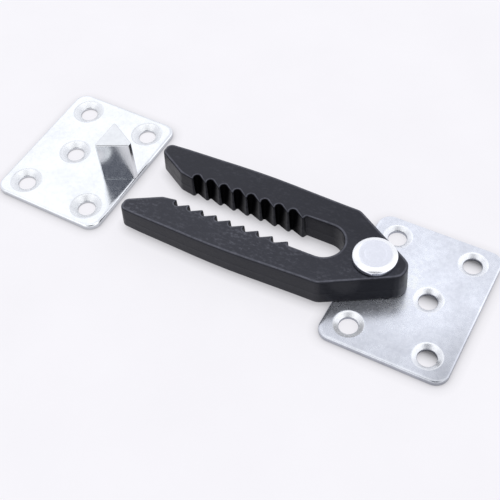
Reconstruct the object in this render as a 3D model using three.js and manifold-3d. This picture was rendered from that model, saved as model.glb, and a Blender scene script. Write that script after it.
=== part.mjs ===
// Two-part connector for sectional furniture.
// Receiver half: a pressed steel plate that carries a moulded fork latch on one large shouldered rivet.
// Striker half: an equal plate with an upright three-sided prong at the middle of its mating edge.
// The prong is pushed between the latch's arms, past one-way teeth, into the round end of the slot.
//
// Frame: millimetres, +Z up. The origin is the middle of the receiver plate's underside.
// +X runs from the receiver plate along the latch to its mouth, +Y across it.

import * as THREE from 'three';
import { mergeVertices } from 'three/addons/utils/BufferGeometryUtils.js';
import Module from 'manifold-3d';

// ---------------------------------------------------------------- driving dimensions
// plates
const PLATE_LENGTH = 48;        // along X
const PLATE_WIDTH = 60;         // along Y
const PLATE_THICK = 2.4;
const PLATE_CORNER = 5;
const HOLE_HALF_X = 14.6;       // corner holes, from the plate's middle
const HOLE_HALF_Y = 21.45;
const FIFTH_HOLE = 6.2;         // from the middle, away from the mating edge
const SCREW_HOLE_D = 6.9;
const SINK_D = 10.8;            // countersink on the receiver's upper face
const STRIKER_SINK_D = 12.2;    // and on the striker's
const SINK_FALL = Math.tan(Math.PI / 6); // both are 120 degree cones

// pivot
const PIVOT_X = 14.8;           // from the plate's middle, towards the mating edge
const RIVET_TAIL_D = 6;         // through the plate
const RIVET_TAIL_SINK_D = 9;    // formed into a countersink on the underside
const RIVET_SHANK_D = 9.8;      // shoulder, through the latch
const RIVET_HEAD_D = 16;
const RIVET_FLAT_D = 12.4;      // flat top inside the head's bevel
const RIVET_HEAD_Z = 14.6;      // underside of the head
const RIVET_RIM_Z = 16.2;       // lower edge of the bevel
const RIVET_TOP_Z = 17.2;

// latch, in its own frame: u from the pivot towards the mouth, v across
const BORE_D = 10.2;
const LATCH_BOTTOM = 2.6;
const LATCH_TOP_AT_PIVOT = 14.2;
const LATCH_TOP_SLOPE = -0.024; // the arms get thinner towards the mouth
const LATCH_EDGE = 0.5;         // softened upper edge
const LATCH_DRAFT = 0.4;        // each wall stands out this much further at the bottom
const TOOTH_PITCH = 5.82;
const TOOTH_COUNT = 9;          // on each arm
const TOOTH_FIRST = 77.55;      // u of the tip nearest the mouth
const TOOTH_TIP = 5.65;         // half the gap between facing tips, before they are rounded
const TOOTH_DEPTH = 3.5;        // at the upper face, to the root's sharp corner; the holding face is square to the latch
const TOOTH_ROOT = 1.2;         // root radius there
const TOOTH_DEPTH_BELOW = 2.0;  // the same two at the lower face, where the recesses run out
const TOOTH_ROOT_BELOW = 0.9;
const TOOTH_ROUND = 0.45;
const SLOT_HALF = 7.4;          // half-width of the plain slot behind the teeth
const SLOT_END = 12.3;          // u where the slot's round end stops

// striker
const STRIKER_X = 142.2;        // plate's middle at rest, in front of the latch
const STRIKER_Y = -4.7;
const STRIKER_TURN = -1.2;      // degrees
const PRONG_DEPTH = 11.9;       // nose to rear face; the nose is flush with the plate's edge
const PRONG_WIDTH = 14.2;       // across the rear face
const PRONG_TOP = 21.1;
const PRONG_NOSE = 0.9;         // half-width of the blunt nose
const PRONG_EDGE = 0.4;
const SPIGOT_BACK = 7.6;        // nose to the spigot's centre
const SPIGOT_D = 6.4;           // staked through the plate
const SPIGOT_SINK_D = 8.6;

const GAP = 0.05;               // between a staked piece and its plate

// ---------------------------------------------------------------- solids
const wasm = await Module();
wasm.setup();

function solid(geometry) {
  const g = geometry.clone();
  for (const name of Object.keys(g.attributes)) if (name !== 'position') g.deleteAttribute(name);
  const m = mergeVertices(g, 1e-4);
  const index = m.index.array;
  const tri = [];
  for (let i = 0; i < index.length; i += 3) {
    const [a, b, c] = [index[i], index[i + 1], index[i + 2]];
    if (a !== b && b !== c && a !== c) tri.push(a, b, c);
  }
  return new wasm.Manifold(new wasm.Mesh({
    numProp: 3,
    vertProperties: new Float32Array(m.attributes.position.array),
    triVerts: new Uint32Array(tri),
  }));
}

function geometryOf(manifold) {
  const mesh = manifold.getMesh();
  const g = new THREE.BufferGeometry();
  g.setAttribute('position', new THREE.BufferAttribute(new Float32Array(mesh.vertProperties), 3));
  g.setIndex(new THREE.BufferAttribute(new Uint32Array(mesh.triVerts), 1));
  const flat = g.toNonIndexed();
  flat.computeVertexNormals();
  return flat;
}

// A turned solid about the vertical through (x, y); the profile holds [radius, z] pairs and starts and ends on the axis.
function turned(profile, segments, x = 0, y = 0) {
  const g = new THREE.LatheGeometry(profile.map(([r, z]) => new THREE.Vector2(r, z)), segments);
  g.rotateX(Math.PI / 2);
  g.translate(x, y, 0);
  return g;
}

function roundedRectangle(length, width, r) {
  const s = new THREE.Shape();
  const [a, b] = [length / 2, width / 2];
  s.moveTo(-a + r, -b);
  s.lineTo(a - r, -b);
  s.absarc(a - r, -b + r, r, -Math.PI / 2, 0, false);
  s.lineTo(a, b - r);
  s.absarc(a - r, b - r, r, 0, Math.PI / 2, false);
  s.lineTo(-a + r, b);
  s.absarc(-a + r, b - r, r, Math.PI / 2, Math.PI, false);
  s.lineTo(-a, -b + r);
  s.absarc(-a + r, -b + r, r, Math.PI, 1.5 * Math.PI, false);
  return s;
}

// A screw hole's cutter: plain hole below, countersink above.
function screwCutter(x, y, sink) {
  const [r, R] = [SCREW_HOLE_D / 2, sink / 2];
  const top = PLATE_THICK;
  return solid(turned([
    [0, -1], [r, -1], [r, top - (R - r) * SINK_FALL], [R, top], [R + 1, top + SINK_FALL], [0, top + SINK_FALL],
  ], 40, x, y));
}

// A staked tail's cutter: plain hole with a countersink on the underside.
function tailCutter(x, y, d, sink) {
  const [r, R] = [d / 2, sink / 2];
  return solid(turned([
    [0, -1], [R + 1, -1], [R, 0], [r, R - r], [r, PLATE_THICK + 1], [0, PLATE_THICK + 1],
  ], 40, x, y));
}

// Both plates have the same holes; `back` is the sign of X away from the mating edge.
function plate(back, sink, cutters) {
  const g = new THREE.ExtrudeGeometry(roundedRectangle(PLATE_LENGTH, PLATE_WIDTH, PLATE_CORNER), {
    depth: PLATE_THICK, bevelEnabled: false, curveSegments: 10,
  });
  let body = solid(g);
  const centres = [
    [HOLE_HALF_X, HOLE_HALF_Y], [HOLE_HALF_X, -HOLE_HALF_Y],
    [-HOLE_HALF_X, HOLE_HALF_Y], [-HOLE_HALF_X, -HOLE_HALF_Y],
    [back * FIFTH_HOLE, 0],
  ];
  for (const [x, y] of centres) body = body.subtract(screwCutter(x, y, sink));
  for (const c of cutters) body = body.subtract(c);
  return geometryOf(body);
}

// ---------------------------------------------------------------- latch outline
// A polyline whose corners are rounded; each entry is [u, v, radius, largest share of an edge the round may take].
// Each point that comes out carries the largest inset that its corner allows.
function rounded(points, steps = 4) {
  const out = [];
  const n = points.length;
  for (let i = 0; i < n; i++) {
    const [u, v, r, share = 0.48] = points[i];
    if (!r) { out.push([u, v, 9]); continue; }
    const p = new THREE.Vector2(u, v);
    const a = new THREE.Vector2(points[(i + n - 1) % n][0], points[(i + n - 1) % n][1]).sub(p);
    const b = new THREE.Vector2(points[(i + 1) % n][0], points[(i + 1) % n][1]).sub(p);
    const [la, lb] = [a.length(), b.length()];
    a.divideScalar(la); b.divideScalar(lb);
    const half = Math.acos(THREE.MathUtils.clamp(a.dot(b), -1, 1)) / 2;
    const t = Math.min(r / Math.tan(half), la * share, lb * share);
    const radius = t * Math.tan(half);
    const bis = a.clone().add(b).normalize();
    const c = p.clone().addScaledVector(bis, radius / Math.sin(half));
    const s = p.clone().addScaledVector(a, t).sub(c);
    const e = p.clone().addScaledVector(b, t).sub(c);
    let turn = Math.atan2(s.x * e.y - s.y * e.x, s.dot(e));
    for (let k = 0; k <= steps; k++) {
      const q = s.clone().rotateAround(new THREE.Vector2(), turn * k / steps).add(c);
      out.push([q.x, q.y, 0.9 * radius]);
    }
  }
  return out;
}

// Outer side of one arm, from the nose behind the pivot to the mouth (v > 0).
const SIDE = [
  [-12, 0, 0], [-11.85, 1.5, 0], [-11.2, 3.3, 3], [-9.4, 4.72, 6],
  [13.6, 18.2, 5], [20, 18.35, 0], [30, 18.75, 0], [40, 19.2, 0], [48, 19.48, 0], [56, 19.55, 0],
  [64, 19.42, 0], [72, 19.15, 0], [80, 18.92, 0], [87, 18.72, 0],
  [95.6, 18.2, 3.4], [95.5, 13.3, 2.2],
];
// Inner side, from the mouth to the slot's round end (v > 0).
function inner(depth, root) {
  const pts = [[83.4, 6.55, 4], [TOOTH_FIRST, TOOTH_TIP, TOOTH_ROUND, 0.32]];
  for (let i = 0; i < TOOTH_COUNT; i++) {
    const tip = TOOTH_FIRST - i * TOOTH_PITCH;
    if (i) pts.push([tip, TOOTH_TIP, TOOTH_ROUND, 0.32]);
    if (i === TOOTH_COUNT - 1) pts.push([tip - 0.7, SLOT_HALF, 0.9]);
    else pts.push([tip, TOOTH_TIP + depth, root, 0.66]);
  }
  return pts;
}

// The whole outline, anticlockwise, for one depth of the tooth recesses.
function latchOutline(depth, root) {
  const cu = SLOT_END + SLOT_HALF;
  const half = rounded([[-12, 0, 0], ...SIDE.slice(1), ...inner(depth, root), [cu, SLOT_HALF, 0]], 4);
  for (let k = 1; k < 12; k++) {
    const a = Math.PI / 2 + (k / 12) * (Math.PI / 2);
    half.push([cu + SLOT_HALF * Math.cos(a), SLOT_HALF * Math.sin(a), 9]);
  }
  const all = [...half, [SLOT_END, 0, 9], ...half.slice(1).reverse().map(([u, v, lim]) => [u, -v, lim])];
  let area = 0;
  for (let i = 0; i < all.length; i++) {
    const [p, q] = [all[i], all[(i + 1) % all.length]];
    area += p[0] * q[1] - q[0] * p[1];
  }
  return area > 0 ? all : all.reverse();
}

// The outline moved inwards by d along its mitres; a negative d moves it outwards.
function inset(points, d) {
  const n = points.length;
  return points.map(([x, y, lim], i) => {
    const [p, q] = [points[(i + n - 1) % n], points[(i + 1) % n]];
    const a = new THREE.Vector2(x - p[0], y - p[1]).normalize();
    const b = new THREE.Vector2(q[0] - x, q[1] - y).normalize();
    const [na, nb] = [new THREE.Vector2(-a.y, a.x), new THREE.Vector2(-b.y, b.x)];
    const k = Math.max(1 + na.dot(nb), 0.35);
    const e = Math.min(d, lim ?? 9);
    return [x + e * (na.x + nb.x) / k, y + e * (na.y + nb.y) / k];
  });
}

// A closed skin over rings of equal count, each a list of [x, y, z], from the bottom up.
function skin(rings) {
  const n = rings[0].length;
  const position = new Float32Array(rings.flat(2));
  const index = [];
  for (let k = 0; k + 1 < rings.length; k++) {
    for (let i = 0; i < n; i++) {
      const [a, b] = [k * n + i, k * n + (i + 1) % n];
      index.push(a, b, b + n, a, b + n, a + n);
    }
  }
  const lid = (ring, base, flip) => {
    const contour = ring.map(([x, y]) => new THREE.Vector2(x, y));
    for (const [a, b, c] of THREE.ShapeUtils.triangulateShape(contour, [])) {
      index.push(base + a, base + (flip ? c : b), base + (flip ? b : c));
    }
  };
  lid(rings[0], 0, true);
  lid(rings[rings.length - 1], (rings.length - 1) * n, false);
  const g = new THREE.BufferGeometry();
  g.setAttribute('position', new THREE.BufferAttribute(position, 3));
  g.setIndex(index);
  return g;
}

function latchGeometry() {
  const h = LATCH_TOP_AT_PIVOT - LATCH_BOTTOM;
  const upper = latchOutline(TOOTH_DEPTH, TOOTH_ROOT);
  const lower = latchOutline(TOOTH_DEPTH_BELOW, TOOTH_ROOT_BELOW);
  const kept = upper.map((p, i) => i).filter((i) => {
    const [p, q] = [upper[i], upper[(i + 1) % upper.length]];
    return Math.hypot(p[0] - q[0], p[1] - q[1]) > 0.02;
  });
  const [top, foot] = [kept.map((i) => upper[i]), kept.map((i) => lower[i])];
  // the upper face slopes down from the pivot to the mouth; the lower face is level
  const level = (d, t) => {
    const [a, b] = [inset(foot, d), inset(top, d)];
    return a.map(([x, y], i) => {
      const [u, v] = [THREE.MathUtils.lerp(x, b[i][0], t), THREE.MathUtils.lerp(y, b[i][1], t)];
      return [u, v, LATCH_BOTTOM + t * (h + LATCH_TOP_SLOPE * u)];
    });
  };
  const body = skin([
    level(0.25 - LATCH_DRAFT, 0), level(-LATCH_DRAFT, 0.25 / h),
    level(0, 1 - LATCH_EDGE / h), level(0.3 * LATCH_EDGE, 1 - 0.3 * LATCH_EDGE / h), level(LATCH_EDGE, 1),
  ]);
  const bore = turned([[0, 0], [BORE_D / 2, 0], [BORE_D / 2, 20], [0, 20]], 64);
  return geometryOf(solid(body).subtract(solid(bore)));
}

// ---------------------------------------------------------------- rivet and prong
function rivetGeometry() {
  const tail = RIVET_TAIL_D / 2 - GAP;
  const sink = RIVET_TAIL_SINK_D / 2 - 2 * GAP;
  return geometryOf(solid(turned([
    [0, 0.05], [sink, 0.05], [tail, 0.05 + sink - tail],
    [tail, PLATE_THICK + GAP], [RIVET_SHANK_D / 2, PLATE_THICK + GAP],
    [RIVET_SHANK_D / 2, RIVET_HEAD_Z], [RIVET_HEAD_D / 2, RIVET_HEAD_Z],
    [RIVET_HEAD_D / 2, RIVET_RIM_Z], [RIVET_HEAD_D / 2 - 0.45, RIVET_RIM_Z + 0.55],
    [RIVET_FLAT_D / 2 + 0.5, RIVET_TOP_Z - 0.07], [RIVET_FLAT_D / 2, RIVET_TOP_Z], [0, RIVET_TOP_Z],
  ], 64)));
}

function prongGeometry() {
  const front = -PLATE_LENGTH / 2;
  const rear = front + PRONG_DEPTH;
  const [w, n] = [PRONG_WIDTH / 2, PRONG_NOSE];
  const outline = rounded([
    [front, n, 0.4], [front, -n, 0.4], [rear, -w, 0.7], [rear, w, 0.7],
  ], 3);
  const level = (d, z) => inset(outline, d).map(([x, y]) => [x, y, z]);
  const post = skin([
    level(0, PLATE_THICK + GAP), level(0, PRONG_TOP - PRONG_EDGE),
    level(0.3 * PRONG_EDGE, PRONG_TOP - 0.3 * PRONG_EDGE), level(PRONG_EDGE, PRONG_TOP),
  ]);
  const tail = SPIGOT_D / 2 - GAP;
  const sink = SPIGOT_SINK_D / 2 - 2 * GAP;
  const spigot = turned([
    [0, 0.05], [sink, 0.05], [tail, 0.05 + sink - tail], [tail, PLATE_THICK + 2], [0, PLATE_THICK + 2],
  ], 40, front + SPIGOT_BACK, 0);
  return geometryOf(solid(post).add(solid(spigot)));
}

// ---------------------------------------------------------------- materials
const zinc = new THREE.MeshStandardMaterial({ color: 0xc9ced6, roughness: 0.32, metalness: 1 });
const strikerZinc = new THREE.MeshStandardMaterial({ color: 0xd3d7de, roughness: 0.28, metalness: 1 });
const moulded = new THREE.MeshStandardMaterial({ color: 0x33343b, roughness: 0.55, metalness: 0 });
const rivetSteel = new THREE.MeshStandardMaterial({ color: 0xdcdde6, roughness: 0.25, metalness: 1 });
const prongSteel = new THREE.MeshStandardMaterial({ color: 0xd6d8de, roughness: 0.18, metalness: 1 });

function mesh(name, geometry, material) {
  const m = new THREE.Mesh(geometry, material);
  m.name = name;
  return m;
}

// ---------------------------------------------------------------- assembly
const connector = new THREE.Group();

const receiver = new THREE.Group();
receiver.add(mesh('receiver_plate', plate(-1, SINK_D, [
  tailCutter(PIVOT_X, 0, RIVET_TAIL_D, RIVET_TAIL_SINK_D),
]), zinc));
const rivet = mesh('pivot_rivet', rivetGeometry(), rivetSteel);
rivet.position.set(PIVOT_X, 0, 0);
receiver.add(rivet);

const latch = mesh('latch_fork', latchGeometry(), moulded);
latch.position.set(PIVOT_X, 0, 0);
receiver.add(latch);
connector.add(receiver);

const striker = new THREE.Group();
striker.position.set(STRIKER_X, STRIKER_Y, 0);
striker.rotation.z = THREE.MathUtils.degToRad(STRIKER_TURN);
striker.add(mesh('striker_plate', plate(1, STRIKER_SINK_D, [
  tailCutter(-PLATE_LENGTH / 2 + SPIGOT_BACK, 0, SPIGOT_D, SPIGOT_SINK_D),
]), strikerZinc));
striker.add(mesh('striker_prong', prongGeometry(), prongSteel));
connector.add(striker);

export default connector;
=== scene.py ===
import math

import bmesh
import bpy
import numpy as np
from mathutils import Matrix, Vector


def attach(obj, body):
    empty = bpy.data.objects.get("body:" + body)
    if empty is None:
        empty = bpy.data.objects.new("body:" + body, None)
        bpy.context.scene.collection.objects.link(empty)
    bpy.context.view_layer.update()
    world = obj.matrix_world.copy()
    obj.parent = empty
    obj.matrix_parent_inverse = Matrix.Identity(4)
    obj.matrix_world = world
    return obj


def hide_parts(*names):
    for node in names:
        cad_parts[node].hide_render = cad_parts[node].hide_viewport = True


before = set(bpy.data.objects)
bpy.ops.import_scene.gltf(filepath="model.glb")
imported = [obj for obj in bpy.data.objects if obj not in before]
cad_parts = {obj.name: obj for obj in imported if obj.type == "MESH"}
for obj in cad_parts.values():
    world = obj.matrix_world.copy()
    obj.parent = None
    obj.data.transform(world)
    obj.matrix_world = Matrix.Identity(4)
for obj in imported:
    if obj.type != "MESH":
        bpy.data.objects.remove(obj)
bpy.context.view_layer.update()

scene = bpy.context.scene
MM = 0.001


# ------------------------------------------------------------------ camera
cam_data = bpy.data.cameras.new("camera")
cam_data.lens = 70.57
cam_data.sensor_width = 36.0
cam_data.clip_start = 0.01
cam_data.clip_end = 20.0
cam = bpy.data.objects.new("camera", cam_data)
scene.collection.objects.link(cam)
forward = Vector((0.32849, -0.51584, -0.79121)).normalized()
right = Vector((-0.84349, -0.53715, 0.0)).normalized()
up = right.cross(forward)
roll = -0.088476
x_axis = right * math.cos(roll) + up * math.sin(roll)
y_axis = -right * math.sin(roll) + up * math.cos(roll)
m = Matrix.Identity(4)
for i in range(3):
    m[i][0], m[i][1], m[i][2] = x_axis[i], y_axis[i], -forward[i]
m.translation = Vector((-58.06, 194.52, 288.30)) * MM
cam.matrix_world = m
scene.camera = cam


# ------------------------------------------------------------------ mesh helpers (millimetres in, metres out)
def make_object(name, verts, faces, smooth_angle=32.0):
    mesh = bpy.data.meshes.new(name)
    mesh.from_pydata([tuple(c * MM for c in v) for v in verts], [], faces)
    bm = bmesh.new()
    bm.from_mesh(mesh)
    bmesh.ops.remove_doubles(bm, verts=bm.verts, dist=1e-7)
    bmesh.ops.recalc_face_normals(bm, faces=bm.faces)
    bm.to_mesh(mesh)
    bm.free()
    ob = bpy.data.objects.new(name, mesh)
    scene.collection.objects.link(ob)
    shade(ob, smooth_angle)
    return ob


def shade(ob, angle=32.0):
    me = ob.data
    me.shade_smooth()
    me.set_sharp_from_angle(angle=math.radians(angle))


def weighted(ob):
    w = ob.modifiers.new("weighted", "WEIGHTED_NORMAL")
    w.mode = "FACE_AREA"
    w.weight = 50
    w.keep_sharp = True


def apply_modifiers(ob):
    dg = bpy.context.evaluated_depsgraph_get()
    mesh = bpy.data.meshes.new_from_object(ob.evaluated_get(dg))
    ob.modifiers.clear()
    old = ob.data
    ob.data = mesh
    bpy.data.meshes.remove(old)


def cut(ob, cutters):
    for c in cutters:
        b = ob.modifiers.new("cut", "BOOLEAN")
        b.operation = "DIFFERENCE"
        b.solver = "EXACT"
        b.object = c
    apply_modifiers(ob)
    for c in cutters:
        me = c.data
        bpy.data.objects.remove(c)
        bpy.data.meshes.remove(me)


def rings_solid(rings):
    """Closed skin from rings of equal count, each a list of (x, y, z); the first and last get a flat cap."""
    verts, faces = [], []
    n = len(rings[0])
    for r in rings:
        verts += r
    for k in range(len(rings) - 1):
        a, b = k * n, (k + 1) * n
        for i in range(n):
            j = (i + 1) % n
            faces.append((a + i, a + j, b + j, b + i))
    faces.append(tuple(range(n))[::-1])
    faces.append(tuple(range((len(rings) - 1) * n, len(rings) * n)))
    return verts, faces


def lathe(name, profile, segments=72, x=0.0, y=0.0, smooth_angle=32.0):
    """Turned skin about the vertical through (x, y); the profile starts and ends on the axis."""
    verts, faces = [], []
    inner = profile[1:-1]
    n = len(inner)
    for s in range(segments):
        a = 2 * math.pi * s / segments
        for r, z in inner:
            verts.append((x + r * math.cos(a), y + r * math.sin(a), z))
    bottom = len(verts)
    verts.append((x, y, profile[0][1]))
    top = len(verts)
    verts.append((x, y, profile[-1][1]))
    for s in range(segments):
        t = (s + 1) % segments
        for k in range(n - 1):
            faces.append((s * n + k, t * n + k, t * n + k + 1, s * n + k + 1))
        faces.append((bottom, t * n, s * n))
        faces.append((top, s * n + n - 1, t * n + n - 1))
    return make_object(name, verts, faces, smooth_angle)


def arc(cx, cz, r, a0, a1, n):
    return [(cx + r * math.cos(math.radians(a0 + (a1 - a0) * k / n)),
             cz + r * math.sin(math.radians(a0 + (a1 - a0) * k / n))) for k in range(n + 1)]


def offset_ring(pts, d):
    """Each vertex moved inwards by d along its mitre, but no more than its corner allows; pts run anticlockwise."""
    out = []
    n = len(pts)
    wanted = d
    for i in range(n):
        p0, p1, p2 = pts[i - 1], pts[i], pts[(i + 1) % n]
        d, lim = wanted, p1[2] if len(p1) > 2 else 9
        if d > 0.5 * lim:
            d = lim * (1 - 0.5 * math.exp(1 - d / (0.5 * lim)))
        a = (p1[0] - p0[0], p1[1] - p0[1])
        b = (p2[0] - p1[0], p2[1] - p1[1])
        la, lb = math.hypot(*a), math.hypot(*b)
        na = (-a[1] / la, a[0] / la)
        nb = (-b[1] / lb, b[0] / lb)
        k = 1 + na[0] * nb[0] + na[1] * nb[1]
        k = max(k, 0.35)
        out.append((p1[0] + d * (na[0] + nb[0]) / k, p1[1] + d * (na[1] + nb[1]) / k))
    return out


def rounded(points, steps=6):
    """Polygon of (u, v, radius) with its corners rounded; each point carries the largest inset its corner allows."""
    out = []
    n = len(points)
    for i in range(n):
        u, v, r = points[i][:3]
        share = points[i][3] if len(points[i]) > 3 else 0.48
        if not r:
            out.append((u, v, 9))
            continue
        p = Vector((u, v))
        a = Vector(points[i - 1][:2]) - p
        b = Vector(points[(i + 1) % n][:2]) - p
        la, lb = a.length, b.length
        a.normalize()
        b.normalize()
        half = math.acos(max(-1, min(1, a.dot(b)))) / 2
        t = min(r / math.tan(half), la * share, lb * share)
        radius = t * math.tan(half)
        c = p + (a + b).normalized() * (radius / math.sin(half))
        s = p + a * t - c
        e = p + b * t - c
        turn = math.atan2(s.x * e.y - s.y * e.x, s.dot(e))
        for k in range(steps + 1):
            w = turn * k / steps
            out.append((c.x + s.x * math.cos(w) - s.y * math.sin(w),
                        c.y + s.x * math.sin(w) + s.y * math.cos(w), 0.9 * radius))
    return out


# ------------------------------------------------------------------ materials
def new_material(name):
    mat = bpy.data.materials.new(name)
    mat.use_nodes = True
    nt = mat.node_tree
    bsdf = nt.nodes["Principled BSDF"]
    return mat, nt, bsdf


def add(nt, kind, **values):
    node = nt.nodes.new(kind)
    for key, value in values.items():
        if key in node.inputs:
            node.inputs[key].default_value = value
        else:
            setattr(node, key, value)
    return node


def ramp(nt, source, stops):
    r = nt.nodes.new("ShaderNodeValToRGB")
    el = r.color_ramp.elements
    while len(el) < len(stops):
        el.new(0.5)
    for e, (pos, col) in zip(el, stops):
        e.position = pos
        e.color = col if len(col) == 4 else (*col, 1)
    nt.links.new(source, r.inputs["Fac"])
    return r


def zinc(name, tint, rough, mottle=1.0, seed=0.0, painted_hole_shade=0.0, painted_shading=0.0, cone_highlight=0.0, haze=0.0):
    """Bright zinc plating: pale mottling, faint cloudy spangle, fine scratches, orange-peel bump."""
    mat, nt, b = new_material(name)
    L = nt.links.new
    co = add(nt, "ShaderNodeTexCoord")
    mp = add(nt, "ShaderNodeMapping")
    mp.inputs["Location"].default_value = (seed, seed * 1.7, 0)
    L(co.outputs["Object"], mp.inputs["Vector"])
    cloud = add(nt, "ShaderNodeTexNoise", Scale=95.0, Detail=5.0, Roughness=0.62)
    fine = add(nt, "ShaderNodeTexNoise", Scale=560.0, Detail=4.0, Roughness=0.68)
    spangle = add(nt, "ShaderNodeTexVoronoi", Scale=420.0)
    for node in (cloud, fine, spangle):
        L(mp.outputs["Vector"], node.inputs["Vector"])
    # colour: cloudy, with a faint cool-warm drift
    lo = tuple(c * (1 - 0.13 * mottle) for c in tint)
    colour = ramp(nt, cloud.outputs["Fac"], [(0.34, lo), (0.66, tint)])
    grain = add(nt, "ShaderNodeMixRGB", blend_type="MULTIPLY")
    grain.inputs["Fac"].default_value = 0.35 * mottle
    g2 = ramp(nt, fine.outputs["Fac"], [(0.35, (0.72, 0.73, 0.76)), (0.62, (1, 1, 1))])
    L(colour.outputs["Color"], grain.inputs["Color1"])
    L(g2.outputs["Color"], grain.inputs["Color2"])
    # painted light and shade: the plate is brighter in the middle, darker towards +Y, and darker in a band along its -X
    # edge on the +Y side
    xyz = add(nt, "ShaderNodeSeparateXYZ")
    L(co.outputs["Object"], xyz.inputs[0])
    ball = add(nt, "ShaderNodeMapping")
    ball.inputs["Scale"].default_value = (32, 32, 32)
    L(co.outputs["Object"], ball.inputs["Vector"])
    painted_bright_middle = add(nt, "ShaderNodeTexGradient", gradient_type="SPHERICAL")
    L(ball.outputs["Vector"], painted_bright_middle.inputs["Vector"])
    level = add(nt, "ShaderNodeMath", operation="MULTIPLY_ADD")
    level.inputs[1].default_value = 0.30 * painted_shading
    level.inputs[2].default_value = 1 - 0.04 * painted_shading
    L(painted_bright_middle.outputs["Fac"], level.inputs[0])
    tilt = add(nt, "ShaderNodeMath", operation="MULTIPLY_ADD")
    tilt.inputs[1].default_value = -3.2 * painted_shading
    L(xyz.outputs["Y"], tilt.inputs[0])
    L(level.outputs[0], tilt.inputs[2])
    back_edge = add(nt, "ShaderNodeMath", operation="MULTIPLY_ADD", use_clamp=True)
    back_edge.inputs[1].default_value, back_edge.inputs[2].default_value = -125.0, -1.625
    L(xyz.outputs["X"], back_edge.inputs[0])
    one_side = add(nt, "ShaderNodeMath", operation="MULTIPLY_ADD", use_clamp=True)
    one_side.inputs[1].default_value, one_side.inputs[2].default_value = 62.5, 0.25
    L(xyz.outputs["Y"], one_side.inputs[0])
    painted_dark_band = add(nt, "ShaderNodeMath", operation="MULTIPLY")
    L(back_edge.outputs[0], painted_dark_band.inputs[0])
    L(one_side.outputs[0], painted_dark_band.inputs[1])
    banded = add(nt, "ShaderNodeMath", operation="MULTIPLY_ADD")
    banded.inputs[1].default_value = -0.17 * painted_shading
    L(painted_dark_band.outputs[0], banded.inputs[0])
    L(tilt.outputs[0], banded.inputs[2])
    evened = add(nt, "ShaderNodeVectorMath", operation="SCALE")
    L(grain.outputs["Color"], evened.inputs[0])
    L(banded.outputs[0], evened.inputs["Scale"])
    # painted shade where the hole attribute is set: darker inside the holes and on the plate's sides
    hole = add(nt, "ShaderNodeAttribute", attribute_name="hole")
    dark = add(nt, "ShaderNodeMixRGB", blend_type="MULTIPLY")
    dark.inputs["Color2"].default_value = (1 - painted_hole_shade, 1 - painted_hole_shade, 1 - 0.96 * painted_hole_shade, 1)
    L(hole.outputs["Fac"], dark.inputs["Fac"])
    L(evened.outputs["Vector"], dark.inputs["Color1"])
    # painted highlight: where the cone attribute is set, the colour is mixed towards white and the metal made a little
    # less metallic
    cone = add(nt, "ShaderNodeAttribute", attribute_name="cone")
    bright = add(nt, "ShaderNodeMixRGB", blend_type="MIX")
    bright.inputs["Color2"].default_value = (0.95, 0.965, 0.985, 1)
    faint = add(nt, "ShaderNodeMath", operation="MULTIPLY")
    faint.inputs[1].default_value = cone_highlight
    L(cone.outputs["Fac"], faint.inputs[0])
    L(faint.outputs[0], bright.inputs["Fac"])
    L(dark.outputs["Color"], bright.inputs["Color1"])
    L(bright.outputs["Color"], b.inputs["Base Color"])
    # roughness: clouds plus fine grain
    mixr = add(nt, "ShaderNodeMath", operation="MULTIPLY_ADD")
    mixr.inputs[1].default_value = 0.16 * mottle
    mixr.inputs[2].default_value = rough - 0.08 * mottle
    L(cloud.outputs["Fac"], mixr.inputs[0])
    mix2 = add(nt, "ShaderNodeMath", operation="MULTIPLY_ADD")
    mix2.inputs[1].default_value = 0.14 * mottle
    L(fine.outputs["Fac"], mix2.inputs[0])
    L(mixr.outputs[0], mix2.inputs[2])
    mix3 = add(nt, "ShaderNodeMath", operation="MULTIPLY_ADD")
    mix3.inputs[1].default_value = 0.03
    L(cone.outputs["Fac"], mix3.inputs[0])
    L(mix2.outputs[0], mix3.inputs[2])
    L(mix3.outputs[0], b.inputs["Roughness"])
    # bump: spangle, orange peel, scratches
    sc_map = add(nt, "ShaderNodeMapping")
    sc_map.inputs["Scale"].default_value = (60, 2600, 60)
    sc_map.inputs["Rotation"].default_value = (0, 0, math.radians(18))
    L(co.outputs["Object"], sc_map.inputs["Vector"])
    scratch = add(nt, "ShaderNodeTexNoise", Scale=1.0, Detail=2.0, Roughness=0.5)
    L(sc_map.outputs["Vector"], scratch.inputs["Vector"])
    b1 = add(nt, "ShaderNodeBump", Strength=0.08 * mottle, Distance=0.00012)
    L(cloud.outputs["Fac"], b1.inputs["Height"])
    b2 = add(nt, "ShaderNodeBump", Strength=0.05 * mottle, Distance=0.00003)
    L(fine.outputs["Fac"], b2.inputs["Height"])
    L(b1.outputs["Normal"], b2.inputs["Normal"])
    b3 = add(nt, "ShaderNodeBump", Strength=0.06 * mottle, Distance=0.00003)
    L(scratch.outputs["Fac"], b3.inputs["Height"])
    L(b2.outputs["Normal"], b3.inputs["Normal"])
    L(b3.outputs["Normal"], b.inputs["Normal"])
    cone_glow = add(nt, "ShaderNodeMath", operation="MULTIPLY_ADD")
    cone_glow.inputs[1].default_value = -0.24
    cone_glow.inputs[2].default_value = 1.0 - haze
    L(cone.outputs["Fac"], cone_glow.inputs[0])
    L(cone_glow.outputs[0], b.inputs["Metallic"])
    return mat


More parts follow.
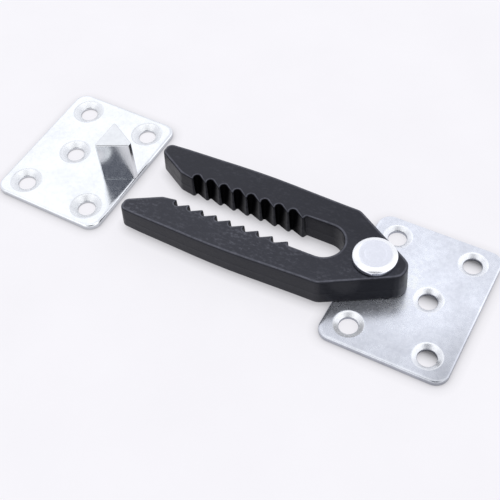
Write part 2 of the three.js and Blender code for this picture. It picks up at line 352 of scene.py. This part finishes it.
def moulded(name):
    """Charcoal moulded plastic: rubbed upper face with fine scuffs, matt dark walls, a lighter rim that is partly wear
    and partly painted highlight, painted shade in the tooth recesses and on the far arm.
    """
    mat, nt, b = new_material(name)
    L = nt.links.new
    co = add(nt, "ShaderNodeTexCoord")
    grain = add(nt, "ShaderNodeTexNoise", Scale=1500.0, Detail=3.0, Roughness=0.65)
    cloud = add(nt, "ShaderNodeTexNoise", Scale=70.0, Detail=4.0, Roughness=0.6)
    speck = add(nt, "ShaderNodeTexNoise", Scale=640.0, Detail=3.0, Roughness=0.75)
    for node in (grain, cloud, speck):
        L(co.outputs["Object"], node.inputs["Vector"])
    # scuffs run along the arms
    stretch = add(nt, "ShaderNodeMapping")
    stretch.inputs["Scale"].default_value = (0.55, 1.0, 1.0)
    stretch.inputs["Rotation"].default_value = (0, 0, 0.05)
    L(co.outputs["Object"], stretch.inputs["Vector"])
    scuff = add(nt, "ShaderNodeTexNoise", Scale=900.0, Detail=4.0, Roughness=0.7)
    L(stretch.outputs["Vector"], scuff.inputs["Vector"])
    edge = add(nt, "ShaderNodeAttribute", attribute_name="edge")
    wall = add(nt, "ShaderNodeAttribute", attribute_name="wall")

    def math_node(op, a, b2, clamp=False):
        node = add(nt, "ShaderNodeMath", operation=op)
        node.use_clamp = clamp
        for k, value in enumerate((a, b2)):
            if isinstance(value, (int, float)):
                node.inputs[k].default_value = value
            else:
                L(value, node.inputs[k])
        return node.outputs[0]

    # painted shade: the tooth recesses are darkened and lose most of their gloss
    painted_recess_shade = add(nt, "ShaderNodeAttribute", attribute_name="painted_recess_shade")
    shallow = math_node("SUBTRACT", 1.0, math_node("MULTIPLY", painted_recess_shade.outputs["Fac"], wall.outputs["Fac"]), True)
    shallow = math_node("POWER", shallow, 3.0)
    top = math_node("SUBTRACT", 1.0, wall.outputs["Fac"], True)
    base = ramp(nt, cloud.outputs["Fac"], [(0.3, (0.0045, 0.0045, 0.0060)), (0.7, (0.0075, 0.0076, 0.0098))])
    marks = ramp(nt, scuff.outputs["Fac"], [(0.50, (0, 0, 0)), (0.70, (0.070, 0.071, 0.084))])
    patch = ramp(nt, cloud.outputs["Fac"], [(0.40, (0.25, 0.25, 0.25)), (0.66, (1, 1, 1))])
    plus = add(nt, "ShaderNodeMixRGB", blend_type="ADD")
    # painted shade: the far arm is darker than the near one, with fewer light scuffs and less gloss
    xyz = add(nt, "ShaderNodeSeparateXYZ")
    L(co.outputs["Object"], xyz.inputs[0])
    across = math_node("ADD", math_node("MULTIPLY", xyz.outputs["Y"], 60.0), 0.5, True)
    arm_scuff_and_shade = math_node("MAXIMUM", across, 0.3)
    L(math_node("MULTIPLY", math_node("MULTIPLY", top, arm_scuff_and_shade), patch.outputs["Color"]), plus.inputs["Fac"])
    L(base.outputs["Color"], plus.inputs["Color1"])
    L(marks.outputs["Color"], plus.inputs["Color2"])
    # lighter rim: partly edge wear, partly painted highlight
    rim_wear_and_highlight = add(nt, "ShaderNodeMixRGB", blend_type="MIX")
    rim_wear_and_highlight.inputs["Color2"].default_value = (0.105, 0.107, 0.128, 1)
    wn = ramp(nt, speck.outputs["Fac"], [(0.3, (0.35, 0.35, 0.35)), (0.62, (1, 1, 1))])
    L(math_node("MULTIPLY", math_node("MULTIPLY", edge.outputs["Fac"], wn.outputs["Color"]), 0.80), rim_wear_and_highlight.inputs["Fac"])
    L(plus.outputs["Color"], rim_wear_and_highlight.inputs["Color1"])
    sunk = add(nt, "ShaderNodeMixRGB", blend_type="MULTIPLY")
    sunk.inputs["Fac"].default_value = 1.0
    L(rim_wear_and_highlight.outputs["Color"], sunk.inputs["Color1"])
    L(math_node("MAXIMUM", shallow, 0.25), sunk.inputs["Color2"])
    L(sunk.outputs["Color"], b.inputs["Base Color"])
    rr = add(nt, "ShaderNodeMath", operation="MULTIPLY_ADD")
    rr.inputs[1].default_value = 0.26
    rr.inputs[2].default_value = 0.20
    L(speck.outputs["Fac"], rr.inputs[0])
    L(rr.outputs[0], b.inputs["Roughness"])
    spec = add(nt, "ShaderNodeMath", operation="MULTIPLY_ADD")
    spec.inputs[1].default_value = -0.34
    spec.inputs[2].default_value = 0.60
    L(wall.outputs["Fac"], spec.inputs[0])
    gloss = math_node("MULTIPLY", spec.outputs[0], math_node("ADD", math_node("MULTIPLY", across, 0.24), 0.76))
    L(math_node("MULTIPLY", gloss, math_node("MAXIMUM", shallow, 0.04)), b.inputs["Specular IOR Level"])
    b.inputs["Specular Tint"].default_value = (0.80, 0.83, 1.0, 1)
    b1 = add(nt, "ShaderNodeBump", Strength=0.30, Distance=0.00004)
    L(grain.outputs["Fac"], b1.inputs["Height"])
    b2 = add(nt, "ShaderNodeBump", Strength=0.40, Distance=0.00012)
    L(speck.outputs["Fac"], b2.inputs["Height"])
    L(b1.outputs["Normal"], b2.inputs["Normal"])
    b3 = add(nt, "ShaderNodeBump", Strength=0.10, Distance=0.0006)
    L(cloud.outputs["Fac"], b3.inputs["Height"])
    L(b2.outputs["Normal"], b3.inputs["Normal"])
    L(b3.outputs["Normal"], b.inputs["Normal"])
    return mat


M_RECEIVER = zinc("receiver_zinc_look", (0.83, 0.86, 0.93), 0.19, 1.0, 0.0, 0.50, 1.0, 0.60, 0.13)
M_STRIKER = zinc("striker_zinc_look", (0.875, 0.90, 0.93), 0.15, 0.7, 0.31, 0.25, 0.0, 0.25)
M_RIVET = zinc("rivet_steel_look", (0.87, 0.89, 0.96), 0.19, 0.30, 0.62, 0.0, 0.0, 0.95)
M_PRONG = zinc("prong_steel_look", (0.76, 0.78, 0.80), 0.13, 0.60, 0.93)
M_JAW = moulded("moulded_plastic_look")


# ------------------------------------------------------------------ plates
T = 2.4
HOLE_R = 3.45


def plate_outline(length, width, r, inset, steps=10):
    a, b, q = length / 2 - inset, width / 2 - inset, r - inset
    pts = []
    for cx, cy, a0 in ((a - q, -(b - q), -90), (a - q, b - q, 0), (-(a - q), b - q, 90), (-(a - q), -(b - q), 180)):
        for k in range(steps + 1):
            w = math.radians(a0 + 90 * k / steps)
            pts.append((cx + q * math.cos(w), cy + q * math.sin(w)))
    return pts


def screw_cutter(x, y, R):
    """Plain hole, soft 120 degree countersink, edges rolled over."""
    r = HOLE_R
    foot = T - (R - r) * math.tan(math.radians(30))
    prof = [(0, -1), (r + 0.28, -1), (r + 0.28, -0.01), (r + 0.08, 0.10), (r, 0.26), (r, foot - 0.16),
            (r + 0.04, foot - 0.03), (r + 0.16, foot + 0.09), (r + 0.34, foot + 0.20),
            (R - 0.42, T - 0.255), (R - 0.20, T - 0.150), (R, T - 0.075), (R + 0.22, T - 0.030), (R + 0.50, T + 0.004),
            (R + 1.4, T + 0.5), (R + 1.4, T + 1), (0, T + 1)]
    return lathe("cutter", prof, 64, x, y)


def tail_cutter(x, y, d, sink):
    r, R = d / 2, sink / 2
    return lathe("cutter", [(0, -1), (R + 1, -1), (R, 0), (r, R - r), (r, T + 1), (0, T + 1)], 64, x, y)


def build_plate(name, back, sink, tail):
    # stamped blank: small burr break below, broad roll-over round the upper edge
    levels = [(0.30, 0.0), (0.10, 0.10), (0.0, 0.32), (0.0, T - 0.95), (0.05, T - 0.66), (0.19, T - 0.40),
              (0.42, T - 0.20), (0.75, T - 0.085), (1.15, T - 0.025), (1.65, T)]
    rings = [[(x, y, z) for x, y in plate_outline(48, 60, 5, inset)] for inset, z in levels]
    ob = make_object(name, *rings_solid(rings))
    cutters = [screw_cutter(x, y, sink / 2) for x, y in
               ((14.6, 21.45), (14.6, -21.45), (-14.6, 21.45), (-14.6, -21.45), (back * 6.2, 0))]
    cutters.append(tail_cutter(*tail))
    cut(ob, cutters)
    # painted shade: darker metal inside the holes, round the striker's countersink rims and on the lower part of the
    # plate's sides
    marks, cones = [], []
    for v in ob.data.vertices:
        x, y, z = (c / MM for c in v.co)
        away = min(math.hypot(x - hx, y - hy) for hx, hy in
                   ((14.6, 21.45), (14.6, -21.45), (-14.6, 21.45), (-14.6, -21.45), (back * 6.2, 0)))
        lip = back > 0 and sink / 2 - 0.25 < away < sink / 2 + 0.3 and z > T - 0.3
        marks.append(1.0 if away < HOLE_R + 0.1 else 0.55 if lip else (0.64 if back < 0 else 1.0) if z < T - 0.6 else 0.0)
        # painted highlight: the striker's countersinks, and the receiver's one beside the latch, are whitened more, and
        # made rougher and less metallic, than the rest
        cone_glow = 1.8 if back > 0 else 1.4 if x > 5 and y > 10 else 1.0
        cones.append(cone_glow if HOLE_R + 0.1 <= away < sink / 2 + 0.1 else 0.0)
    ob.data.attributes.new("hole", "FLOAT", "POINT").data.foreach_set("value", marks)
    ob.data.attributes.new("cone", "FLOAT", "POINT").data.foreach_set("value", cones)
    shade(ob, 38)
    weighted(ob)
    return ob


receiver_plate = build_plate("receiver_plate_body", -1, 10.8, (14.8, 0, 6.0, 9.0))
receiver_plate.data.materials.clear()
receiver_plate.data.materials.append(M_RECEIVER)


# ------------------------------------------------------------------ latch
TOOTH_PITCH, TOOTH_COUNT, TOOTH_FIRST = 5.82, 9, 77.55
TOOTH_TIP, TOOTH_ROUND, SLOT_HALF, SLOT_END = 5.65, 0.45, 7.4, 12.3
TOOTH_TOP = (3.5, 1.2)      # depth to the root's corner and root radius at the upper face
TOOTH_FOOT = (2.0, 0.9)     # the same at the lower face, where the recesses run out
LATCH_BOTTOM, LATCH_TOP, LATCH_SLOPE = 2.6, 14.2, -0.024
PIVOT_X = 14.8

SIDE = [
    (-12, 0, 0), (-11.85, 1.5, 0), (-11.2, 3.3, 3), (-9.4, 4.72, 6),
    (13.6, 18.2, 5), (20, 18.35, 0), (30, 18.75, 0), (40, 19.2, 0), (48, 19.48, 0), (56, 19.55, 0),
    (64, 19.42, 0), (72, 19.15, 0), (80, 18.92, 0), (87, 18.72, 0),
    (95.6, 18.2, 3.4), (95.5, 13.3, 2.2),
]


def latch_outline(depth, root):
    inner = [(83.4, 6.55, 4), (TOOTH_FIRST, TOOTH_TIP, TOOTH_ROUND, 0.32)]
    for i in range(TOOTH_COUNT):
        tip = TOOTH_FIRST - i * TOOTH_PITCH
        if i:
            inner.append((tip, TOOTH_TIP, TOOTH_ROUND, 0.32))
        if i == TOOTH_COUNT - 1:
            inner.append((tip - 0.7, SLOT_HALF, 0.9))
        else:
            inner.append((tip, TOOTH_TIP + depth, root, 0.66))
    cu = SLOT_END + SLOT_HALF
    half = rounded([(-12, 0, 0), *SIDE[1:], *inner, (cu, SLOT_HALF, 0)], 6)
    for k in range(1, 20):
        a = math.pi / 2 + (k / 20) * (math.pi / 2)
        half.append((cu + SLOT_HALF * math.cos(a), SLOT_HALF * math.sin(a), 9))
    pts = half + [(SLOT_END, 0, 9)] + [(u, -v, lim) for u, v, lim in half[1:][::-1]]
    area = sum(pts[i - 1][0] * pts[i][1] - pts[i][0] * pts[i - 1][1] for i in range(len(pts)))
    return pts if area > 0 else pts[::-1]


def latch_z(t, u):
    h = LATCH_TOP - LATCH_BOTTOM
    return LATCH_BOTTOM + t * (h + LATCH_SLOPE * u)


def build_latch():
    upper, lower = latch_outline(*TOOTH_TOP), latch_outline(*TOOTH_FOOT)
    kept = [i for i in range(len(upper))
            if math.hypot(upper[i][0] - upper[i - 1][0], upper[i][1] - upper[i - 1][1]) > 0.015]
    upper, lower = [upper[i] for i in kept], [lower[i] for i in kept]
    h = LATCH_TOP - LATCH_BOTTOM
    # (inset, height fraction, rim): softened lower edge, drafted wall with a faint parting line, rolled upper edge
    draft = 0.4
    levels = [(0.30 - draft, 0.0, 0), (0.10 - draft, 0.06 / h, 0), (0.0 - draft, 0.22 / h, 0)]
    for t in (0.10, 0.22, 0.34):
        levels.append((-draft * (1 - t), t, 0))
    levels += [(-draft * 0.575 - 0.035, 0.425, 0), (-draft * 0.565 - 0.035, 0.435, 0), (-draft * 0.55, 0.45, 0)]
    for t in (0.58, 0.70, 0.82):
        levels.append((-draft * (1 - t), t, 0))
    e = 0.62
    for k in range(0, 7):
        w = math.radians(90 * k / 6)
        levels.append((e * (1 - math.cos(w)), 1 - e * (1 - math.sin(w)) / h, (0, 0, 0, 0.1, 0.6, 1.0, 1.0)[k]))
    levels += [(0.82, 1.0, 0.8), (1.1, 1.0, 0.0)]
    rings, rims = [], []
    for inset, t, rim in levels:
        ring = [(a[0] + (b[0] - a[0]) * t, a[1] + (b[1] - a[1]) * t)
                for a, b in zip(offset_ring(lower, inset), offset_ring(upper, inset))]
        rings.append([(u, v, latch_z(t, u)) for u, v in ring])
        rims += [rim] * len(ring)
    ob = make_object("latch_fork_body", *rings_solid(rings), smooth_angle=50)
    # the rim column marks the rolled upper edge, lightened as wear and painted highlight
    ob.data.attributes.new("edge", "FLOAT", "POINT").data.foreach_set("value", rims)
    # how much each point belongs to the walls rather than the upper face
    wall = [max(0.0, min(1.0, (1.0 - t) * h / 0.35)) for _, t, _ in levels for _ in range(len(upper))]
    ob.data.attributes.new("wall", "FLOAT", "POINT").data.foreach_set("value", wall)
    # and how deep it lies in a tooth recess, which sets the painted shade there, half as much on the near arm
    first, last = TOOTH_FIRST + 0.6, TOOTH_FIRST - (TOOTH_COUNT - 1) * TOOTH_PITCH - 0.2
    painted_recess_shade = [max(0.0, min(1.0, (abs(p[1]) - TOOTH_TIP - 0.45) / 1.2)) * (1.0 if p[1] < 0 else 0.5) if last < p[0] < first and abs(p[1]) < 9.6 else 0.0
            for p in upper]
    ob.data.attributes.new("painted_recess_shade", "FLOAT", "POINT").data.foreach_set("value", painted_recess_shade * len(levels))
    bore = lathe("cutter", [(0, 0), (5.1, 0), (5.1, 20), (0, 20)], 64)
    cut(ob, [bore])
    shade(ob, 40)
    weighted(ob)
    ob.location = (PIVOT_X * MM, 0, 0)
    return ob


latch = build_latch()
latch.data.materials.clear()
latch.data.materials.append(M_JAW)


# ------------------------------------------------------------------ rivet
def build_rivet():
    head = [
        (7.72, 14.45), (7.92, 14.55), (8.0, 14.75), (8.0, 15.95), (7.95, 16.14), (7.82, 16.30), (7.62, 16.44),
        (7.2, 16.66), (6.75, 16.86), (6.42, 17.0), (6.15, 17.09), (5.85, 17.14), (5.4, 17.16),
        (4.15, 17.165), (3.95, 17.155), (3.8, 17.135), (3.65, 17.155), (3.4, 17.17),
        (1.5, 17.175), (0.8, 17.17),
    ]
    prof = [(0, 0.05), (4.1, 0.05), (4.4, 0.12), (4.42, 0.25), (2.95, 1.6), (2.95, 2.45), (4.9, 2.45), (4.9, 14.42),
            *head, (0, 17.17)]
    ob = lathe("pivot_rivet_body", prof, 96, 0, 0, 36)
    # painted highlight: the turned slope round the flat is made whiter and a little less metallic than the flat
    slope = [1.0 if 6.05 < math.hypot(v.co.x, v.co.y) / MM < 7.9 and v.co.z / MM > 16.2 else 0.0
             for v in ob.data.vertices]
    ob.data.attributes.new("cone", "FLOAT", "POINT").data.foreach_set("value", slope)
    weighted(ob)
    ob.location = (PIVOT_X * MM, 0, 0)
    return ob


rivet = build_rivet()
rivet.data.materials.append(M_RIVET)


# ------------------------------------------------------------------ striker
STRIKER = Matrix.Translation(Vector((142.2, -4.7, 0)) * MM) @ Matrix.Rotation(math.radians(-1.2), 4, "Z")
SPIGOT_X = -24 + 7.6

striker_plate = build_plate("striker_plate_body", 1, 12.2, (SPIGOT_X, 0, 6.4, 8.6))
striker_plate.data.materials.clear()
striker_plate.data.materials.append(M_STRIKER)
striker_plate.matrix_world = STRIKER


def build_prong():
    front, rear, w, nose, top = -24.0, -12.1, 7.1, 0.9, 21.1
    base = rounded([(front, nose, 0.45), (front, -nose, 0.45), (rear, -w, 0.7), (rear, w, 0.7)], 6)
    # small upset foot where it is pressed against the plate, softly broken upper edge
    levels = [(-0.02, 2.42), (-0.09, 2.50), (-0.08, 2.68), (-0.03, 2.95), (0.0, 3.35), (0.0, top - 0.50), (0.04, top - 0.30),
              (0.13, top - 0.14), (0.26, top - 0.04), (0.42, top)]
    rings = [[(x, y, z) for x, y in offset_ring(base, inset)] for inset, z in levels]
    verts, faces = rings_solid(rings)
    ob = make_object("striker_prong_body", verts, faces, 40)
    weighted(ob)
    return ob


prong = build_prong()
prong.data.materials.append(M_PRONG)
prong.matrix_world = STRIKER

tail = lathe("prong_tail", [(0, 0.05), (3.95, 0.05), (4.2, 0.12), (4.2, 0.22), (3.15, 1.25), (3.15, 2.6), (0, 2.6)],
             72, SPIGOT_X, 0, 36)
tail.data.materials.append(M_PRONG)
tail.matrix_world = STRIKER


# ------------------------------------------------------------------ riding, replacing
for piece, body, node, slot in (
    (receiver_plate, "receiver", "receiver_plate", "receiver_zinc"),
    (rivet, "receiver", "pivot_rivet", "rivet_steel"),
    (latch, "latch", "latch_fork", "moulded_plastic"),
    (striker_plate, "striker", "striker_plate", "striker_zinc"),
    (prong, "striker", "striker_prong", "prong_steel"),
    (tail, "striker", None, "prong_steel"),
):
    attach(piece, body)
    if node:
        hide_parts(node)


# ------------------------------------------------------------------ floor
def build_floor():
    mesh = bpy.data.meshes.new("floor")
    s, z = 3.0, -0.00003
    mesh.from_pydata([(-s, -s, z), (s, -s, z), (s, s, z), (-s, s, z)], [], [(0, 1, 2, 3)])
    ob = bpy.data.objects.new("floor", mesh)
    scene.collection.objects.link(ob)
    mat, nt, b = new_material("floor_look")
    L = nt.links.new
    co = add(nt, "ShaderNodeTexCoord")
    n = add(nt, "ShaderNodeTexNoise", Scale=22.0, Detail=4.0, Roughness=0.55)
    L(co.outputs["Object"], n.inputs["Vector"])
    xyz = add(nt, "ShaderNodeSeparateXYZ")
    L(co.outputs["Object"], xyz.inputs[0])

    def node(op, a, b2, clamp=False):
        m = add(nt, "ShaderNodeMath", operation=op)
        m.use_clamp = clamp
        for k, value in enumerate((a, b2)):
            if isinstance(value, (int, float)):
                m.inputs[k].default_value = value
            else:
                L(value, m.inputs[k])
        return m.outputs[0]

    def box(cx, cy, hx, hy, soft):
        sides = []
        for out, c, h in (("X", cx, hx), ("Y", cy, hy)):
            d = node("ABSOLUTE", node("SUBTRACT", xyz.outputs[out], c), 0)
            sides.append(node("DIVIDE", node("SUBTRACT", h, d), soft, True))
        return node("MULTIPLY", *sides)

    # the table glows, as an over-exposed backdrop does, less where something stands close; under the receiver plate the
    # glow is cut and the table darkened as painted shadow through each screw hole the far part of the table is painted
    # in the plate's shadow, the near part left light, and the painted shadow is deeper towards the plate's -X side
    row = add(nt, "ShaderNodeMath", operation="WRAP")
    row.inputs[1].default_value, row.inputs[2].default_value = 0.010725, -0.010725
    L(xyz.outputs["Y"], row.inputs[0])
    lit = node("DIVIDE", node("ADD", row.outputs[0], 0.0028), 0.0052, True)
    side = node("MAXIMUM", node("DIVIDE", node("SUBTRACT", 0.008, xyz.outputs["X"]), 0.010, True), 0.15)
    dim = node("MULTIPLY", side, node("SUBTRACT", 1.0, node("MULTIPLY", lit, 0.93)))
    painted_plate_shadow = node("MULTIPLY", box(0, 0, 0.0225, 0.0285, 0.002), dim)
    c = ramp(nt, n.outputs["Fac"], [(0.35, (0.172, 0.168, 0.176)), (0.65, (0.188, 0.184, 0.192))])
    mix = add(nt, "ShaderNodeMixRGB", blend_type="MIX")
    mix.inputs["Color2"].default_value = (0.885, 0.88, 0.895, 1)
    L(painted_plate_shadow, mix.inputs["Fac"])
    L(c.outputs["Color"], mix.inputs["Color1"])
    under = add(nt, "ShaderNodeMixRGB", blend_type="MIX")
    under.inputs["Color2"].default_value = (0.20, 0.20, 0.21, 1)
    L(painted_plate_shadow, under.inputs["Fac"])
    L(mix.outputs["Color"], under.inputs["Color1"])
    L(under.outputs["Color"], b.inputs["Base Color"])
    b.inputs["Roughness"].default_value = 0.9
    b.inputs["Specular IOR Level"].default_value = 0.1
    b.inputs["Emission Color"].default_value = (0.935, 0.925, 0.965, 1)
    near = add(nt, "ShaderNodeAmbientOcclusion", samples=16)
    near.inputs["Distance"].default_value = 0.0045
    # painted light: the table seen through the striker's holes, where it lies at rest, keeps its full glow with no
    # darkening from nearby things
    dx, dy = node("SUBTRACT", xyz.outputs["X"], 0.1422), node("SUBTRACT", xyz.outputs["Y"], -0.0047)
    sx = node("SUBTRACT", dx, node("MULTIPLY", dy, 0.0209))
    sy = node("ADD", dy, node("MULTIPLY", dx, 0.0209))
    line = add(nt, "ShaderNodeMath", operation="WRAP")
    line.inputs[1].default_value, line.inputs[2].default_value = 0.010725, -0.010725
    L(sy, line.inputs[0])
    outer = node("GREATER_THAN", node("ABSOLUTE", sy, 0), 0.0107)
    off_x = node("ADD", node("MULTIPLY", outer, node("ABSOLUTE", node("SUBTRACT", node("ABSOLUTE", sx, 0), 0.0146), 0)),
                 node("MULTIPLY", node("SUBTRACT", 1.0, outer), node("ABSOLUTE", node("SUBTRACT", sx, 0.0062), 0)))
    gap = node("SQRT", node("ADD", node("MULTIPLY", off_x, off_x), node("MULTIPLY", line.outputs[0], line.outputs[0])), 0)
    disc = node("DIVIDE", node("SUBTRACT", 0.0038, gap), 0.0006, True)
    inside = node("MAXIMUM", box(0, 0, 0.0225, 0.0285, 0.002), disc)
    close = node("MAXIMUM", node("ADD", node("MULTIPLY", near.outputs["AO"], 0.72), 0.28), inside)
    L(node("MULTIPLY", node("MULTIPLY", node("SUBTRACT", 1.0, node("MULTIPLY", painted_plate_shadow, 0.92)), 0.80), close), b.inputs["Emission Strength"])
    mesh.materials.append(mat)
    return ob


build_floor()


# ------------------------------------------------------------------ light
def area(name, location, target, size, size_y, power, colour=(1, 1, 1)):
    data = bpy.data.lights.new(name, "AREA")
    data.shape = "RECTANGLE"
    data.size, data.size_y = size, size_y
    data.energy = power
    data.color = colour
    ob = bpy.data.objects.new(name, data)
    ob.location = location
    ob.rotation_euler = (Vector(target) - Vector(location)).to_track_quat("-Z", "Y").to_euler()
    scene.collection.objects.link(ob)
    return ob


centre = Vector((0.07, 0, 0))
# large softbox behind and to the left of the view: seen whole in the striker plate, past its edge in the receiver plate
key_dir = Vector((0.62, -0.40, 0.70)).normalized()
area("key", centre + key_dir * 1.1, centre, 0.75, 0.75, 0.50, (1.0, 0.995, 0.985))

# a light tent: pale all round, dim where the viewer would stand
world = bpy.data.worlds.new("world")
scene.world = world
world.use_nodes = True
wn = world.node_tree
bg = wn.nodes["Background"]
tc = add(wn, "ShaderNodeTexCoord")
dot = add(wn, "ShaderNodeVectorMath", operation="DOT_PRODUCT")
dot.inputs[1].default_value = Vector((-0.3045, 0.6243, 0.7193)).normalized()
wn.links.new(tc.outputs["Generated"], dot.inputs[0])
sky = ramp(wn, dot.outputs["Value"], [
    (0.0, (0.76, 0.765, 0.80)), (0.45, (0.76, 0.765, 0.80)), (0.66, (1.12, 1.12, 1.12)), (0.868, (1.12, 1.12, 1.12)),
    (0.915, (0.20, 0.21, 0.24)), (0.955, (0.08, 0.085, 0.11))])
# a pale panel low on the right, which lights the plate's right-hand edge
side = add(wn, "ShaderNodeVectorMath", operation="DOT_PRODUCT")
side.inputs[1].default_value = Vector((-0.80, -0.52, 0.28)).normalized()
wn.links.new(tc.outputs["Generated"], side.inputs[0])
panel = ramp(wn, side.outputs["Value"], [(0.80, (0, 0, 0)), (0.93, (0.34, 0.34, 0.36))])
both = add(wn, "ShaderNodeMixRGB", blend_type="ADD")
both.inputs["Fac"].default_value = 1.0
wn.links.new(sky.outputs["Color"], both.inputs["Color1"])
wn.links.new(panel.outputs["Color"], both.inputs["Color2"])
wn.links.new(both.outputs["Color"], bg.inputs["Color"])
bg.inputs["Strength"].default_value = 1.22

scene.view_settings.view_transform = "Standard"
scene.view_settings.look = "None"
